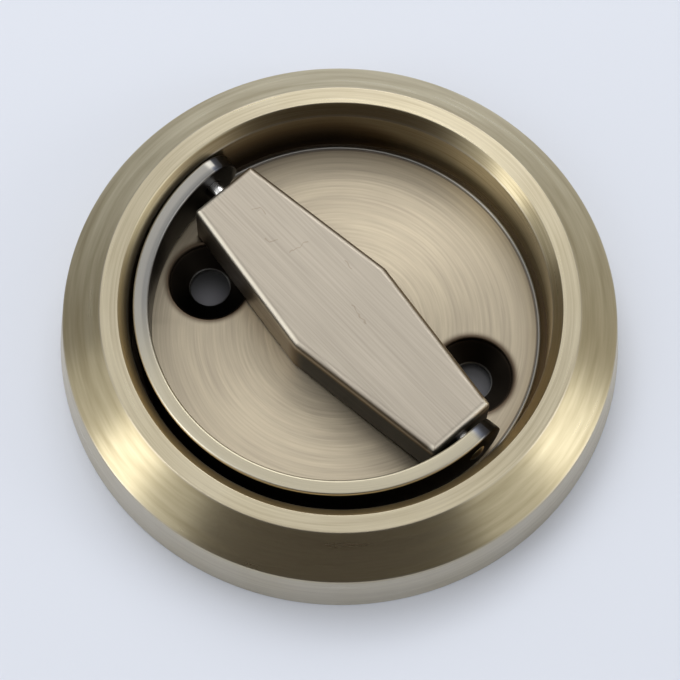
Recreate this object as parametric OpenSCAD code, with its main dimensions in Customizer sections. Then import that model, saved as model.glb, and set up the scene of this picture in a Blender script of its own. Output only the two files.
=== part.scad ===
// Flush pull handle: a round rose with a recessed cup, a turn bar and a folding half ring.
// X runs along the turn bar, the half ring lies toward minus Y, and Z rises from the back face.

/* [Rose] */
// Radius of the rim at its back face
rim_base_r = 37.9; // [34:0.1:46]
// How far the outer wall draws in from the back face to the foot of the cone
wall_draft = 0.9; // [0.2:0.05:2]
// Height of the outer wall
wall_h = 7.5; // [5:0.1:9]
// Height of the whole rim
rim_h = 12.05; // [11.5:0.05:14]
// Width of the flat ring on top of the rim
flat_w = 2.3; // [1:0.1:3.5]
// Space between the half ring and the wall of the cup
cup_room = 1.1; // [1:0.05:2]
// Width of the chamfer round the mouth of the cup
mouth_chamfer_w = 1.3; // [0.5:0.05:1.6]
// Depth of the chamfer round the mouth of the cup
mouth_chamfer_h = 1.55; // [0.5:0.05:2.5]
// Edge break on the turned corners of the rim
rim_edge = 0.25; // [0.1:0.05:0.4]

/* [Floor plate] */
// Height of the floor of the cup above the back face
floor_h = 3; // [2.8:0.05:3.4]
// Width of the step that carries the plate in the rim
seat_w = 0.9; // [0.6:0.05:1.5]
// Height of that step
seat_h = 1.9; // [1.2:0.05:2.2]
// Radius of the bead round the edge of the floor
bead_r = 0.24; // [0.18:0.02:0.26]
// Width of the groove between the bead and the wall of the cup
groove_w = 0.95; // [0.5:0.05:1.3]
// Distance between the two fixing holes
fixing_spacing = 38; // [36:0.5:39]
// Turn of the fixing holes from the line of the bar, in degrees
fixing_turn = 26.2; // [20:0.1:90]
// Diameter of the fixing holes
fixing_d = 5.4; // [4.2:0.1:5.6]
// Diameter of the sunk mouth of a fixing hole, without its soft lip
sink_d = 10.6; // [9:0.1:11]
// Depth of the sunk mouth of a fixing hole
sink_h = 2.3; // [1.8:0.05:2.5]
// Radius of the soft lip of a fixing hole
lip_r = 0.55; // [0.3:0.05:0.7]

/* [Turn bar] */
// Space between the ends of the bar and the half ring when the ring is centred
bar_end_gap = 1.55; // [1.5:0.05:3]
// Width of the bar at its ends
bar_end_w = 10.1; // [8.5:0.1:11]
// Width of the bar at its middle
bar_mid_w = 16.4; // [15.6:0.1:18]
// Height of the top of the bar above the back face
bar_top_h = 11.1; // [10.8:0.05:12]
// Space between the bar and the floor
bar_lift = 0.3; // [0.3:0.05:0.5]
// Radius of the bar's upper edges
bar_edge = 1; // [0.3:0.05:1.2]
// Radius of the bar's middle corners
bar_mid_round = 2; // [1:0.1:3]
// Radius of the bar's end corners
bar_end_round = 0.5; // [0.3:0.1:1.2]

/* [Pull ring] */
// Outer radius of the half ring
ring_r = 27; // [24:0.05:30]
// Thickness of the half ring
ring_t = 2.1; // [1.5:0.05:2.5]
// Height of the band of the half ring
ring_h = 8.46; // [8:0.02:8.5]
// Space between the half ring and the floor
ring_rest = 0.3; // [0.28:0.01:0.4]
// How far the half ring has slid along its pins
ring_slide = 0.6; // [0:0.05:0.6]
// Edge break of the half ring
ring_edge = 0.4; // [0.1:0.05:0.5]
// Diameter of the pivot pins
pin_d = 2.5; // [2:0.1:3]
// Depth of a pivot pin in the bar
pin_grip = 8; // [5:0.5:9]
// Running clearance of the half ring on its pins, on the radius
pin_gap = 0.05; // [0.02:0.01:0.1]

/* [Stem] */
// Diameter of the stem
stem_d = 9; // [8.6:0.1:9.2]
// Side of the square socket for the spindle
socket_w = 5; // [4.5:0.1:5.2]
// Running clearance of the stem in its bush, on the radius
stem_gap = 0.04; // [0.02:0.01:0.1]
// Outer diameter of the bush
bush_d = 12; // [11.6:0.1:12.4]
// Height of the bush above the floor
bush_rise = 3; // [2.5:0.1:3.4]
// Step of the bush that rests on the floor plate
bush_step = 0.6; // [0.4:0.05:0.8]
// Space round the bush inside the bar
bush_room = 0.4; // [0.3:0.05:0.5]
// Thickness of the thrust washer
thrust_t = 0.4; // [0.3:0.05:0.6]
// Diameter of the stem screw
screw_d = 2.5; // [2:0.1:3]
// Diameter of the head of the stem screw
screw_head_d = 4.4; // [4:0.1:4.4]
// Height of the head of the stem screw
screw_head_h = 1.4; // [1:0.1:1.8]
// Thickness of the circlip
clip_t = 0.5; // [0.4:0.02:0.56]
// Thickness of the backing washer
backing_t = 0.4; // [0.3:0.02:0.44]
// Height of the dished spring washer
dish_h = 0.45; // [0.35:0.02:0.5]

/* [Hidden] */
round_fine = 128;
round_small = 48;
overlap = 0.5;
cone_foot_r = rim_base_r - wall_draft;
cup_r = ring_r + cup_room;
mouth_r = cup_r + mouth_chamfer_w;
flat_outer_r = mouth_r + flat_w;
seat_r = cup_r + seat_w;
bead_mid_r = cup_r - groove_w - bead_r;
floor_edge_r = bead_mid_r + bead_r;
rear_room_r = 8;
web_h = 1.2;
rear_room_h = floor_h - web_h;
bush_seat_r = bush_d / 2 - bush_step;
bush_top = floor_h + bush_rise;
stem_shoulder = bush_top + thrust_t;
dog_h = 2;
dog_w = 6.8;
dog_gap = 0.05;
stem_back = 0.1;
socket_top = stem_shoulder + 0.6;
screw_hole_gap = 0.15;
screw_grip = 2;
screw_slot_w = 0.7;
screw_slot_d = 0.6;
dish_t = 0.2;
washer_r = 6.2;
washer_gap = 0.2;
clip_groove = 0.5;
clip_w = 1.5;
clip_mouth_w = 4.5;
clip_ear_r = 1.1;
clip_eye_d = 0.9;
clip_top = rear_room_h - dish_h - backing_t;
bar_low = floor_h + bar_lift;
ring_low = floor_h + ring_rest;
pin_z = ring_low + ring_h / 2;
pin_end = ring_r - ring_slide / 2;
ring_in_r = ring_r - ring_t;
bar_l = 2 * (ring_in_r - bar_end_gap);
pin_root = bar_l / 2 - pin_grip;
pin_tip = 0.4;
bar_lean = atan((bar_mid_w - bar_end_w) / bar_l);
bar_corner_min = 0.05;

// Half profile of the turned rim
module rim_profile() {
    polygon([
        [seat_r, 0],
        [rim_base_r - rim_edge, 0],
        [rim_base_r, rim_edge],
        [cone_foot_r, wall_h - rim_edge],
        [cone_foot_r - rim_edge, wall_h],
        [flat_outer_r + rim_edge, rim_h - rim_edge],
        [flat_outer_r - rim_edge, rim_h],
        [mouth_r, rim_h],
        [cup_r, rim_h - mouth_chamfer_h],
        [cup_r, seat_h],
        [seat_r, seat_h],
    ]);
}

// Outer rim of the rose, turned with a cone outside and a chamfered cup inside
module rose_rim() {
    color("#b9a878")
        rotate_extrude($fn = round_fine)
            rim_profile();
}

// Half profile of one sunk fixing hole, with a rounded lip at the floor
module fixing_profile() {
    difference() {
        polygon([
            [0, -overlap],
            [fixing_d / 2, -overlap],
            [fixing_d / 2, floor_h - sink_h],
            [sink_d / 2, floor_h - lip_r],
            [sink_d / 2 + lip_r, floor_h],
            [sink_d / 2 + lip_r, floor_h + overlap],
            [0, floor_h + overlap],
        ]);
        translate([sink_d / 2 + lip_r, floor_h - lip_r])
            circle(r = lip_r, $fn = round_small);
    }
}

// Both fixing holes at their places on the floor plate
module fixing_holes() {
    for (turn = [0, 180])
        rotate([0, 0, fixing_turn + turn])
            translate([fixing_spacing / 2, 0, 0])
                rotate_extrude($fn = round_small)
                    fixing_profile();
}

// Floor of the cup, pressed into the rim from behind, with a bead round its edge
module floor_plate() {
    color("#b5a57c")
        difference() {
            union() {
                cylinder(r = seat_r, h = seat_h, $fn = round_fine);
                cylinder(r = floor_edge_r, h = floor_h, $fn = round_fine);
                rotate_extrude($fn = round_fine)
                    translate([bead_mid_r, floor_h])
                        circle(r = bead_r, $fn = round_small);
            }
            translate([0, 0, -overlap])
                cylinder(r = rear_room_r, h = rear_room_h + overlap, $fn = round_fine);
            translate([0, 0, -overlap])
                cylinder(r = bush_seat_r, h = floor_h + 2 * overlap, $fn = round_fine);
            fixing_holes();
        }
}

// Bearing bush of the stem, stepped to rest on the floor plate
module stem_bush() {
    color("#a98a4e")
        rotate_extrude($fn = round_fine)
            polygon([
                [stem_d / 2 + stem_gap, rear_room_h],
                [bush_seat_r, rear_room_h],
                [bush_seat_r, floor_h],
                [bush_d / 2, floor_h],
                [bush_d / 2, bush_top],
                [stem_d / 2 + stem_gap, bush_top],
            ]);
}

// Outline of the bar, drawn in by the given inset
module bar_outline(inset) {
    end_r = max(bar_end_round - inset, bar_corner_min);
    mid_r = max(bar_mid_round - inset, bar_corner_min);
    end_in = inset + end_r;
    mid_in = inset + mid_r;
    end_x = bar_l / 2 - end_in;
    end_y = bar_end_w / 2 - end_in * (1 - sin(bar_lean)) / cos(bar_lean);
    mid_y = bar_mid_w / 2 - mid_in / cos(bar_lean);
    hull() {
        for (x = [-end_x, end_x], y = [-end_y, end_y])
            translate([x, y])
                circle(r = end_r, $fn = 24);
        for (y = [-mid_y, mid_y])
            translate([0, y])
                circle(r = mid_r, $fn = 48);
    }
}

// Block of the bar with its rounded upper edges
module bar_block() {
    skin = 0.01;
    hull()
        for (turn = [0, 30, 60, 90])
            translate([0, 0, turn == 0 ? bar_low : bar_top_h - bar_edge * (1 - sin(turn)) - skin])
                linear_extrude(turn == 0 ? bar_top_h - bar_edge - bar_low : skin)
                    bar_outline(bar_edge * (1 - cos(turn)));
}

// Dog that carries the turn from the bar to the stem, grown by the given gap
module stem_dog(gap) {
    translate([0, 0, stem_shoulder])
        intersection() {
            cylinder(d = stem_d + 2 * gap, h = dog_h + gap, $fn = round_fine);
            translate([-stem_d, -dog_w / 2 - gap, 0])
                cube([2 * stem_d, dog_w + 2 * gap, dog_h + gap]);
        }
}

// Turn bar, bored for its pins and hollowed beneath for the bush and the stem
module turn_bar() {
    color("#b3a47c")
        difference() {
            bar_block();
            translate([0, 0, bar_low - overlap])
                cylinder(d = bush_d + 2 * bush_room, h = stem_shoulder - bar_low + overlap, $fn = round_fine);
            stem_dog(dog_gap);
            cylinder(d = screw_d, h = stem_shoulder + dog_h + dog_gap + screw_grip, $fn = round_small);
            for (side = [-1, 1])
                translate([side * pin_root, 0, pin_z])
                    rotate([0, side * 90, 0])
                        cylinder(d = pin_d, h = pin_grip + overlap, $fn = round_small);
        }
}

// Stem that turns in the bush, with a square socket for a spindle and a groove for the circlip
module turn_stem() {
    color("#8f8a80")
        difference() {
            union() {
                translate([0, 0, stem_back])
                    cylinder(d = stem_d, h = stem_shoulder - stem_back, $fn = round_fine);
                stem_dog(0);
            }
            translate([-socket_w / 2, -socket_w / 2, -overlap])
                cube([socket_w, socket_w, socket_top + overlap]);
            cylinder(d = screw_d + 2 * screw_hole_gap, h = stem_shoulder + dog_h + overlap, $fn = round_small);
            rotate_extrude($fn = round_fine)
                translate([stem_d / 2 - clip_groove, clip_top - clip_t])
                    square([clip_groove + overlap, clip_t]);
        }
}

// Slotted screw inside the socket that draws the stem up into the bar
module stem_screw() {
    color("#8c8c8c")
        difference() {
            union() {
                translate([0, 0, socket_top - screw_head_h])
                    cylinder(d = screw_head_d, h = screw_head_h, $fn = round_small);
                translate([0, 0, socket_top - overlap])
                    cylinder(d = screw_d, h = stem_shoulder + dog_h + screw_grip - socket_top + overlap,
                             $fn = round_small);
            }
            translate([-screw_head_d, -screw_slot_w / 2, socket_top - screw_head_h - overlap])
                cube([2 * screw_head_d, screw_slot_w, screw_slot_d + overlap]);
        }
}

// Flat ring between two heights and two radii
module washer(inner_r, outer_r, low, high) {
    rotate_extrude($fn = round_fine)
        translate([inner_r, low])
            square([outer_r - inner_r, high - low]);
}

// Thrust washer between the bush and the bar
module thrust_washer() {
    color("#c8b98a")
        washer(stem_d / 2 + washer_gap, bush_d / 2, bush_top, stem_shoulder);
}

// Dished spring washer that takes up end play behind the floor plate
module dish_washer() {
    inner_r = stem_d / 2 + washer_gap;
    color("#777777")
        rotate_extrude($fn = round_fine)
            polygon([
                [inner_r, rear_room_h - dish_h],
                [washer_r, rear_room_h - dish_t],
                [washer_r, rear_room_h],
                [inner_r, rear_room_h - dish_h + dish_t],
            ]);
}

// Backing washer between the spring washer and the circlip
module backing_washer() {
    color("#9a9a9a")
        washer(stem_d / 2 + washer_gap, washer_r, clip_top, clip_top + backing_t);
}

// Open retaining ring with two eyed ears, sprung into the groove of the stem
module circlip() {
    inner_r = stem_d / 2 - clip_groove;
    ear_y = clip_mouth_w / 2;
    ear_x = inner_r + clip_ear_r;
    color("#5d5f63")
        translate([0, 0, clip_top - clip_t])
            difference() {
                union() {
                    difference() {
                        cylinder(r = inner_r + clip_w, h = clip_t, $fn = round_fine);
                        translate([0, -ear_y, -overlap])
                            cube([2 * washer_r, clip_mouth_w, clip_t + 2 * overlap]);
                    }
                    for (side = [-1, 1])
                        translate([ear_x, side * ear_y, 0])
                            cylinder(r = clip_ear_r, h = clip_t, $fn = round_small);
                }
                translate([0, 0, -overlap])
                    cylinder(r = inner_r, h = clip_t + 2 * overlap, $fn = round_fine);
                for (side = [-1, 1])
                    translate([ear_x, side * ear_y, -overlap])
                        cylinder(d = clip_eye_d, h = clip_t + 2 * overlap, $fn = round_small);
            }
}

// Steel pin with a chamfered tip, pressed into one end of the bar
module pivot_pin(side) {
    translate([side * pin_root, 0, pin_z])
        rotate([0, side * 90, 0])
            rotate_extrude($fn = round_small)
                polygon([
                    [0, 0],
                    [pin_d / 2, 0],
                    [pin_d / 2, pin_end - pin_root - pin_tip],
                    [pin_d / 2 - pin_tip, pin_end - pin_root],
                    [0, pin_end - pin_root],
                ]);
}

// Pin at the end of the bar toward minus X
module pivot_pin_left() {
    color("#c9c9c6")
        pivot_pin(-1);
}

// Pin at the end of the bar toward plus X
module pivot_pin_right() {
    color("#c9c9c6")
        pivot_pin(1);
}

// Full band from which the half ring is cut, with broken edges
module ring_band() {
    rotate_extrude($fn = round_fine)
        translate([ring_in_r, ring_low])
            polygon([
                [ring_edge, 0],
                [ring_t - ring_edge, 0],
                [ring_t, ring_edge],
                [ring_t, ring_h - ring_edge],
                [ring_t - ring_edge, ring_h],
                [ring_edge, ring_h],
                [0, ring_h - ring_edge],
                [0, ring_edge],
            ]);
}

// Folding half ring with full round ends, bored to swing on the pins
module pull_ring() {
    color("#6d6452")
        translate([-ring_slide, 0, 0])
            difference() {
                intersection() {
                    ring_band();
                    union() {
                        translate([-2 * ring_r, -2 * ring_r, ring_low - overlap])
                            cube([4 * ring_r, 2 * ring_r, ring_h + 2 * overlap]);
                        translate([-2 * ring_r, 0, pin_z])
                            rotate([0, 90, 0])
                                cylinder(d = ring_h, h = 4 * ring_r, $fn = round_fine);
                    }
                }
                translate([-2 * ring_r, 0, pin_z])
                    rotate([0, 90, 0])
                        cylinder(r = pin_d / 2 + pin_gap, h = 4 * ring_r, $fn = round_small);
            }
}

rose_rim();
floor_plate();
stem_bush();
turn_bar();
turn_stem();
stem_screw();
thrust_washer();
dish_washer();
backing_washer();
circlip();
pivot_pin_left();
pivot_pin_right();
pull_ring();
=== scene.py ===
# %% [markdown]
# # A flush pull handle in antique brass
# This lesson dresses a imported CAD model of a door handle: a round rose with a recessed cup, a turn bar
# across the cup, and a thin half ring that folds flat beside the bar. The CAD model is a fixed frame.
# Every piece made here sits exactly where its CAD solid is, so nothing has to be fitted by eye.

# %% Load the frame
import math
from collections import namedtuple

import bmesh
import bpy
from mathutils import Matrix, Vector


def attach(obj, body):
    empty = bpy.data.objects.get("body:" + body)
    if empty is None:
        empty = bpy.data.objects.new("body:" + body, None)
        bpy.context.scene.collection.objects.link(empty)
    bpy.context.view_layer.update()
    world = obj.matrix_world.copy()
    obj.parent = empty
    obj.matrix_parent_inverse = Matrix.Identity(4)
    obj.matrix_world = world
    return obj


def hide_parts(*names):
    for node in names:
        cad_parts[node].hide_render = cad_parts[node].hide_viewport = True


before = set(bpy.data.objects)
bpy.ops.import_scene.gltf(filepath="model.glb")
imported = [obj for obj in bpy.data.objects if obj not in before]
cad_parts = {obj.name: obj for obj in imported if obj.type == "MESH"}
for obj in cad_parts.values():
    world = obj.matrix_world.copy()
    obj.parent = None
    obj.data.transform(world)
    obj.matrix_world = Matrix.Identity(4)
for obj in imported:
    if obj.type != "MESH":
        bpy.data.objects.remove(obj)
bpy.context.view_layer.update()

scene = bpy.context.scene
scene.view_settings.view_transform = "Standard"
MM = 0.001

# %% [markdown]
# ## The camera
# The photograph looks steeply down on the handle, about 68 degrees above the table, with a long lens.
# The bar points to the lower right of the picture, so the camera stands 45.6 degrees round from the
# bar's front. A slight roll levels the picture as the photograph has it. The camera is moved a little
# sideways instead of using lens shift, so that other views stay centred.

# %% Directions of the picture
CAMERA_AZIMUTH = math.radians(45.6)
CAMERA_ELEVATION = math.radians(68.39)

view_right = Vector((math.cos(CAMERA_AZIMUTH), math.sin(CAMERA_AZIMUTH), 0))
view_front = Vector((math.sin(CAMERA_AZIMUTH), -math.cos(CAMERA_AZIMUTH), 0))
toward_camera = (view_front * math.cos(CAMERA_ELEVATION)
                 + Vector((0, 0, math.sin(CAMERA_ELEVATION))))
camera_up = toward_camera.cross(view_right)
print("toward the camera:", [round(part, 3) for part in toward_camera])

# %% Camera
CAMERA_DISTANCE = 348.2 * MM
CAMERA_ROLL = math.radians(1.67)
CAMERA_SIDE_STEP = 0.07 * MM
CAMERA_FRONT_STEP = 0.556 * MM
FOCAL_PIXELS = 2560
PICTURE_PIXELS = 680
SENSOR_WIDTH = 36
NEAREST_SEEN = 10 * MM


def new_object(name, data):
    """An object at the origin of the scene."""
    thing = bpy.data.objects.new(name, data)
    scene.collection.objects.link(thing)
    return thing


camera_data = bpy.data.cameras.new("camera")
camera_data.sensor_width = SENSOR_WIDTH
camera_data.lens = FOCAL_PIXELS / PICTURE_PIXELS * SENSOR_WIDTH
camera_data.clip_start = NEAREST_SEEN
camera = new_object("camera", camera_data)
turn = Matrix((view_right, camera_up, toward_camera)).transposed().to_4x4()
stand = (toward_camera * CAMERA_DISTANCE + view_right * CAMERA_SIDE_STEP
         + view_front * CAMERA_FRONT_STEP)
camera.matrix_world = Matrix.Translation(stand) @ turn @ Matrix.Rotation(CAMERA_ROLL, 4, "Z")
scene.camera = camera
print("camera lens %.1f mm" % camera_data.lens)

# %% [markdown]
# ## Helpers for node trees
# Every finish below is a small tree of shader nodes. A few helpers keep the lessons short: one adds a
# node and feeds its inputs, and others wire a step of maths, make a soft step between two limits, mix two
# colours or start a node group. A number that is the same everywhere is typed into the shader itself, and
# only what changes over the surface is wired.

# %% Add a node
def feed(tree, socket, value):
    """Wires a socket to another node's output, or types a plain value into it."""
    if isinstance(value, bpy.types.NodeSocket):
        tree.links.new(value, socket)
    else:
        socket.default_value = value


def wire(tree, node, **named):
    """Feeds a node's inputs by name, with an underscore for each space."""
    for key, value in named.items():
        feed(tree, node.inputs[key.replace("_", " ")], value)


def add_node(tree, kind, settings=None, numbered=(), **named):
    """Adds a node and feeds its inputs, some by number and some by name."""
    node = tree.nodes.new(kind)
    for key, value in (settings or {}).items():
        setattr(node, key, value)
    for number, value in enumerate(numbered):
        feed(tree, node.inputs[number], value)
    wire(tree, node, **named)
    return node


print("helpers:", feed.__name__, wire.__name__, add_node.__name__)

# %% Maths on values
def maths(tree, operation, *values, clamp=False):
    """One step of maths on numbers."""
    settings = {"operation": operation, "use_clamp": clamp}
    return add_node(tree, "ShaderNodeMath", settings, values).outputs[0]


def vector_maths(tree, operation, *values, result="Vector"):
    """One step of maths on places and directions."""
    node = add_node(tree, "ShaderNodeVectorMath", {"operation": operation}, values)
    return node.outputs[result]


def joined(tree, operation, values):
    """Joins a row of values, two at a time."""
    total = values[0]
    for value in values[1:]:
        total = maths(tree, operation, total, value)
    return total


def most(tree, *values):
    """The largest of some values."""
    return joined(tree, "MAXIMUM", values)


def times(tree, *values):
    """The product of some values."""
    return joined(tree, "MULTIPLY", values)


def rest_of(tree, share):
    """What a share leaves over of one."""
    return maths(tree, "SUBTRACT", 1.0, share)


print("maths:", most.__name__, times.__name__, rest_of.__name__)

# %% Soft steps and blends
BAND_CORE = 0.3
MIX_FIRST, MIX_SECOND, MIX_RESULT = 6, 7, 2


def ramp_between(tree, value, low, high, low_result=0.0, high_result=1.0):
    """A smooth step from low_result to high_result as value goes from low to high."""
    node = add_node(
        tree, "ShaderNodeMapRange", {"interpolation_type": "SMOOTHSTEP"}, Value=value,
        From_Min=low, From_Max=high, To_Min=low_result, To_Max=high_result)
    return node.outputs["Result"]


def fade(tree, place, start, stop, first=0.0, last=1.0):
    """A smooth step along a place, between two limits in millimetres."""
    return ramp_between(tree, place, start * MM, stop * MM, first, last)


def fades_from(tree, table):
    """A fade whose limits and results are a named row of a table."""
    return lambda name, place: fade(tree, place, *table[name])


def band(tree, place, middle, reach):
    """One at the middle of a band in millimetres, falling softly to nothing at its sides."""
    apart = maths(tree, "ABSOLUTE", maths(tree, "SUBTRACT", place, middle * MM))
    return fade(tree, apart, reach * BAND_CORE, reach, 1.0, 0.0)


def blend_colour(tree, share, first, second):
    """Goes from the first colour to the second as the share goes from nothing to one."""
    node = add_node(tree, "ShaderNodeMix", {"data_type": "RGBA"}, (share,))
    for number, colour in ((MIX_FIRST, first), (MIX_SECOND, second)):
        plain = isinstance(colour, tuple)
        feed(tree, node.inputs[number], (*colour, 1) if plain else colour)
    return node.outputs[MIX_RESULT]


print("the middle", BAND_CORE, "of a band stays full")

# %% Groups and places
NUMBER, COLOUR, VECTOR = "NodeSocketFloat", "NodeSocketColor", "NodeSocketVector"
Place = namedtuple("Place", "x y z level radius")


def new_group(name, inputs, outputs):
    """A node group with its named sockets, and its first and last node."""
    group = bpy.data.node_groups.new(name, "ShaderNodeTree")
    for label, kind, value in inputs:
        socket = group.interface.new_socket(label, in_out="INPUT", socket_type=kind)
        if value is not None:
            socket.default_value = value
    for label, kind in outputs:
        group.interface.new_socket(label, in_out="OUTPUT", socket_type=kind)
    return group, group.nodes.new("NodeGroupInput"), group.nodes.new("NodeGroupOutput")


def place_on(tree):
    """Object position in parts: x, y, z, the level place and its distance from the axis."""
    where = add_node(tree, "ShaderNodeTexCoord").outputs["Object"]
    split = add_node(tree, "ShaderNodeSeparateXYZ", Vector=where).outputs
    level = add_node(tree, "ShaderNodeCombineXYZ", X=split["X"], Y=split["Y"]).outputs[0]
    radius = vector_maths(tree, "LENGTH", level, result="Value")
    return Place(split["X"], split["Y"], split["Z"], level, radius)


def distance_from(tree, place, x, y):
    """How far a place is from a level point given in millimetres."""
    return vector_maths(tree, "DISTANCE", place, (x * MM, y * MM, 0), result="Value")


print("a place has the parts:", Place._fields)

# %% [markdown]
# ## Table
# The handle lies on a pale, faintly blue table. Little light gets down to the table through the two
# fixing holes, so its colour is dark under the rose, and a little lighter on one side of each hole. That
# could come from a deep hole alone, but the plate here is thin, so the tone is blended instead.

# %% Plain materials
def new_material(name):
    """A material with its node tree and its shader."""
    material = bpy.data.materials.new(name)
    material.use_nodes = True
    tree = material.node_tree
    return material, tree, tree.nodes["Principled BSDF"]


def plain_material(name, colour, roughness):
    material, tree, shader = new_material(name)
    wire(tree, shader, Base_Color=(*colour, 1), Roughness=roughness)
    return material


print("plain materials:", plain_material.__name__)

# %% Table tones
FIXING_R = 19.0
FIXING_TURN = 26.2
fixing_places = [
    (FIXING_R * math.cos(angle), FIXING_R * math.sin(angle))
    for angle in (math.radians(FIXING_TURN), math.radians(FIXING_TURN + 180))]

TABLE_COLOUR = (0.71, 0.745, 0.825)
TABLE_ROUGHNESS = 0.6
LIT_COLOUR = (0.12, 0.12, 0.133)
DEEP_COLOUR = (0.012, 0.012, 0.013)
OPEN_SPAN = (27, 33)
LIT_STEP = (1.2, -1.15)
LIT_REACH = 4.2


def table_material():
    material = plain_material("table_top", TABLE_COLOUR, TABLE_ROUGHNESS)
    tree = material.node_tree
    at = place_on(tree)
    from_lit = [
        distance_from(tree, at.level, hole_x + LIT_STEP[0], hole_y + LIT_STEP[1])
        for hole_x, hole_y in fixing_places]
    hidden = fade(tree, maths(tree, "MINIMUM", *from_lit), 0.0, LIT_REACH)
    under = blend_colour(tree, hidden, LIT_COLOUR, DEEP_COLOUR)
    tone = blend_colour(tree, fade(tree, at.radius, *OPEN_SPAN), under, TABLE_COLOUR)
    wire(tree, tree.nodes["Principled BSDF"], Base_Color=tone)
    return material


print("fixing holes at", [(round(x, 2), round(y, 2)) for x, y in fixing_places], "mm")

# %% Table
TABLE_WIDTH = 3.0


def flat_sheet(name, width, height, material):
    """A single rectangle about the origin."""
    mesh = bpy.data.meshes.new(name)
    w, h = width / 2, height / 2
    mesh.from_pydata([(-w, -h, 0), (w, -h, 0), (w, h, 0), (-w, h, 0)], [], [(0, 1, 2, 3)])
    mesh.materials.append(material)
    return new_object(name, mesh)


table = flat_sheet("table", TABLE_WIDTH, TABLE_WIDTH, table_material())
print("table", TABLE_WIDTH, "m wide")

# %% [markdown]
# ## Studio light
# Brushed metal shows mostly what stands around it, so the light is what a small product studio has. A
# soft light overhead lights the table. A tall soft box at the left and a small one at the right make the
# two bright places on the cone, and three soft lights at the back fill the flat faces. A low strip under
# the left box makes the glint in the mouth.

# %% Soft lights
def stand_at(azimuth, elevation, distance):
    """A point seen from the handle at an angle round from the picture's front and one upwards."""
    around = math.radians(azimuth)
    above = math.radians(elevation)
    level = view_front * math.cos(around) + view_right * math.sin(around)
    return (level * math.cos(above) + Vector((0, 0, math.sin(above)))) * distance


def face_handle(thing, upright=False):
    toward = -thing.location
    if upright:
        toward.z = 0
    thing.rotation_euler = toward.to_track_quat("-Z", "Y").to_euler()


def soft_light(name, azimuth, elevation, distance, width, height, power):
    data = bpy.data.lights.new(name, "AREA")
    data.shape = "RECTANGLE"
    data.size = width
    data.size_y = height
    data.energy = power
    lamp = new_object(name, data)
    lamp.location = stand_at(azimuth, elevation, distance)
    face_handle(lamp)
    return lamp


# Each row: name, angle round, angle up, distance, width and height in metres, power in watts
SOFT_LIGHTS = (
    ("light_overhead", 205, 62, 1.2, 0.70, 0.70, 4.70),
    ("light_left", -69, 36, 0.9, 0.24, 1.05, 1.42),
    ("light_right", 82, 25, 0.9, 0.36, 0.32, 1.00),
    ("light_back", 165, 47, 1.0, 0.45, 0.45, 0.94),
    ("light_low", -69, 4, 0.9, 0.24, 0.10, 0.34),
    ("light_top", 180, 72, 1.2, 0.90, 0.90, 0.18),
    ("light_far", 180, 45, 1.0, 0.80, 0.35, 0.78),
)
lamps = {row[0]: soft_light(*row) for row in SOFT_LIGHTS}
lamps["light_overhead"].visible_glossy = False
print("lights:", list(lamps))

# %% [markdown]
# ## Dark cards and a white world
# A studio also uses black cards, which only take light out of the reflections. An upright one in front
# gives the cone its dark part, a low one stands beside the low strip, and one stands at each side behind.
# The white world is shown to the camera and to reflections, while the room itself is dimmer.

# %% Dark cards
CARD_ROUGHNESS = 0.9


def dark_card(name, azimuth, elevation, distance, width, height, colour, upright=False):
    card = flat_sheet(name, width, height, plain_material(name, colour, CARD_ROUGHNESS))
    card.location = stand_at(azimuth, elevation, distance)
    face_handle(card, upright)
    card.visible_camera = False
    card.visible_shadow = False
    card.visible_diffuse = False
    print(name, width, "by", height, "m")


dark_card("card_front", 0, 30, 0.85, 1.4, 1.5, (0.03, 0.016, 0.006), upright=True)
dark_card("card_low", -48, 5, 0.8, 0.28, 0.18, (0.06, 0.045, 0.03))
dark_card("card_left", -125, 12, 0.8, 0.8, 0.4, (0.16, 0.14, 0.11))
dark_card("card_right", 125, 12, 0.8, 0.8, 0.4, (0.5, 0.44, 0.33))

# %% White world
ROOM_LEVEL = 0.64
WHITE_LEVEL = 1.0

world = bpy.data.worlds.new("studio")
world.use_nodes = True
scene.world = world
sky = world.node_tree
sky.nodes.clear()
ray = add_node(sky, "ShaderNodeLightPath").outputs
seen = most(sky, ray["Is Camera Ray"], ray["Is Glossy Ray"], ray["Is Transmission Ray"])
brightness = add_node(
    sky, "ShaderNodeMapRange", Value=seen, To_Min=ROOM_LEVEL, To_Max=WHITE_LEVEL)
glow = add_node(sky, "ShaderNodeBackground", Strength=brightness.outputs["Result"])
add_node(sky, "ShaderNodeOutputWorld", Surface=glow.outputs["Background"])
print("world: room", ROOM_LEVEL, "and white", WHITE_LEVEL)

# %% [markdown]
# ## Turned grain and drawn grain
# A lathe leaves fine circles: the scratches run round the axis and change quickly across it. Drawn grain
# is the same thing in straight lines, as on the bar, which was rubbed lengthwise. Both are noise that has
# been stretched: the position is squeezed along the scratch before the noise is read. For circles the
# direction round the axis replaces the angle, so that the pattern has no seam where the angle wraps.

# %% Grain value
MIDDLE = 0.5
FINE_SHARE = 0.7
COARSE_SHARE = 0.3
COARSE_SQUEEZE = (0.5, 0.5, 0.4)
HEIGHT_SHARE = 0.83
LINES_PER_METRE = 4500.0
GRAIN_CONTRAST = 2.2


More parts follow.
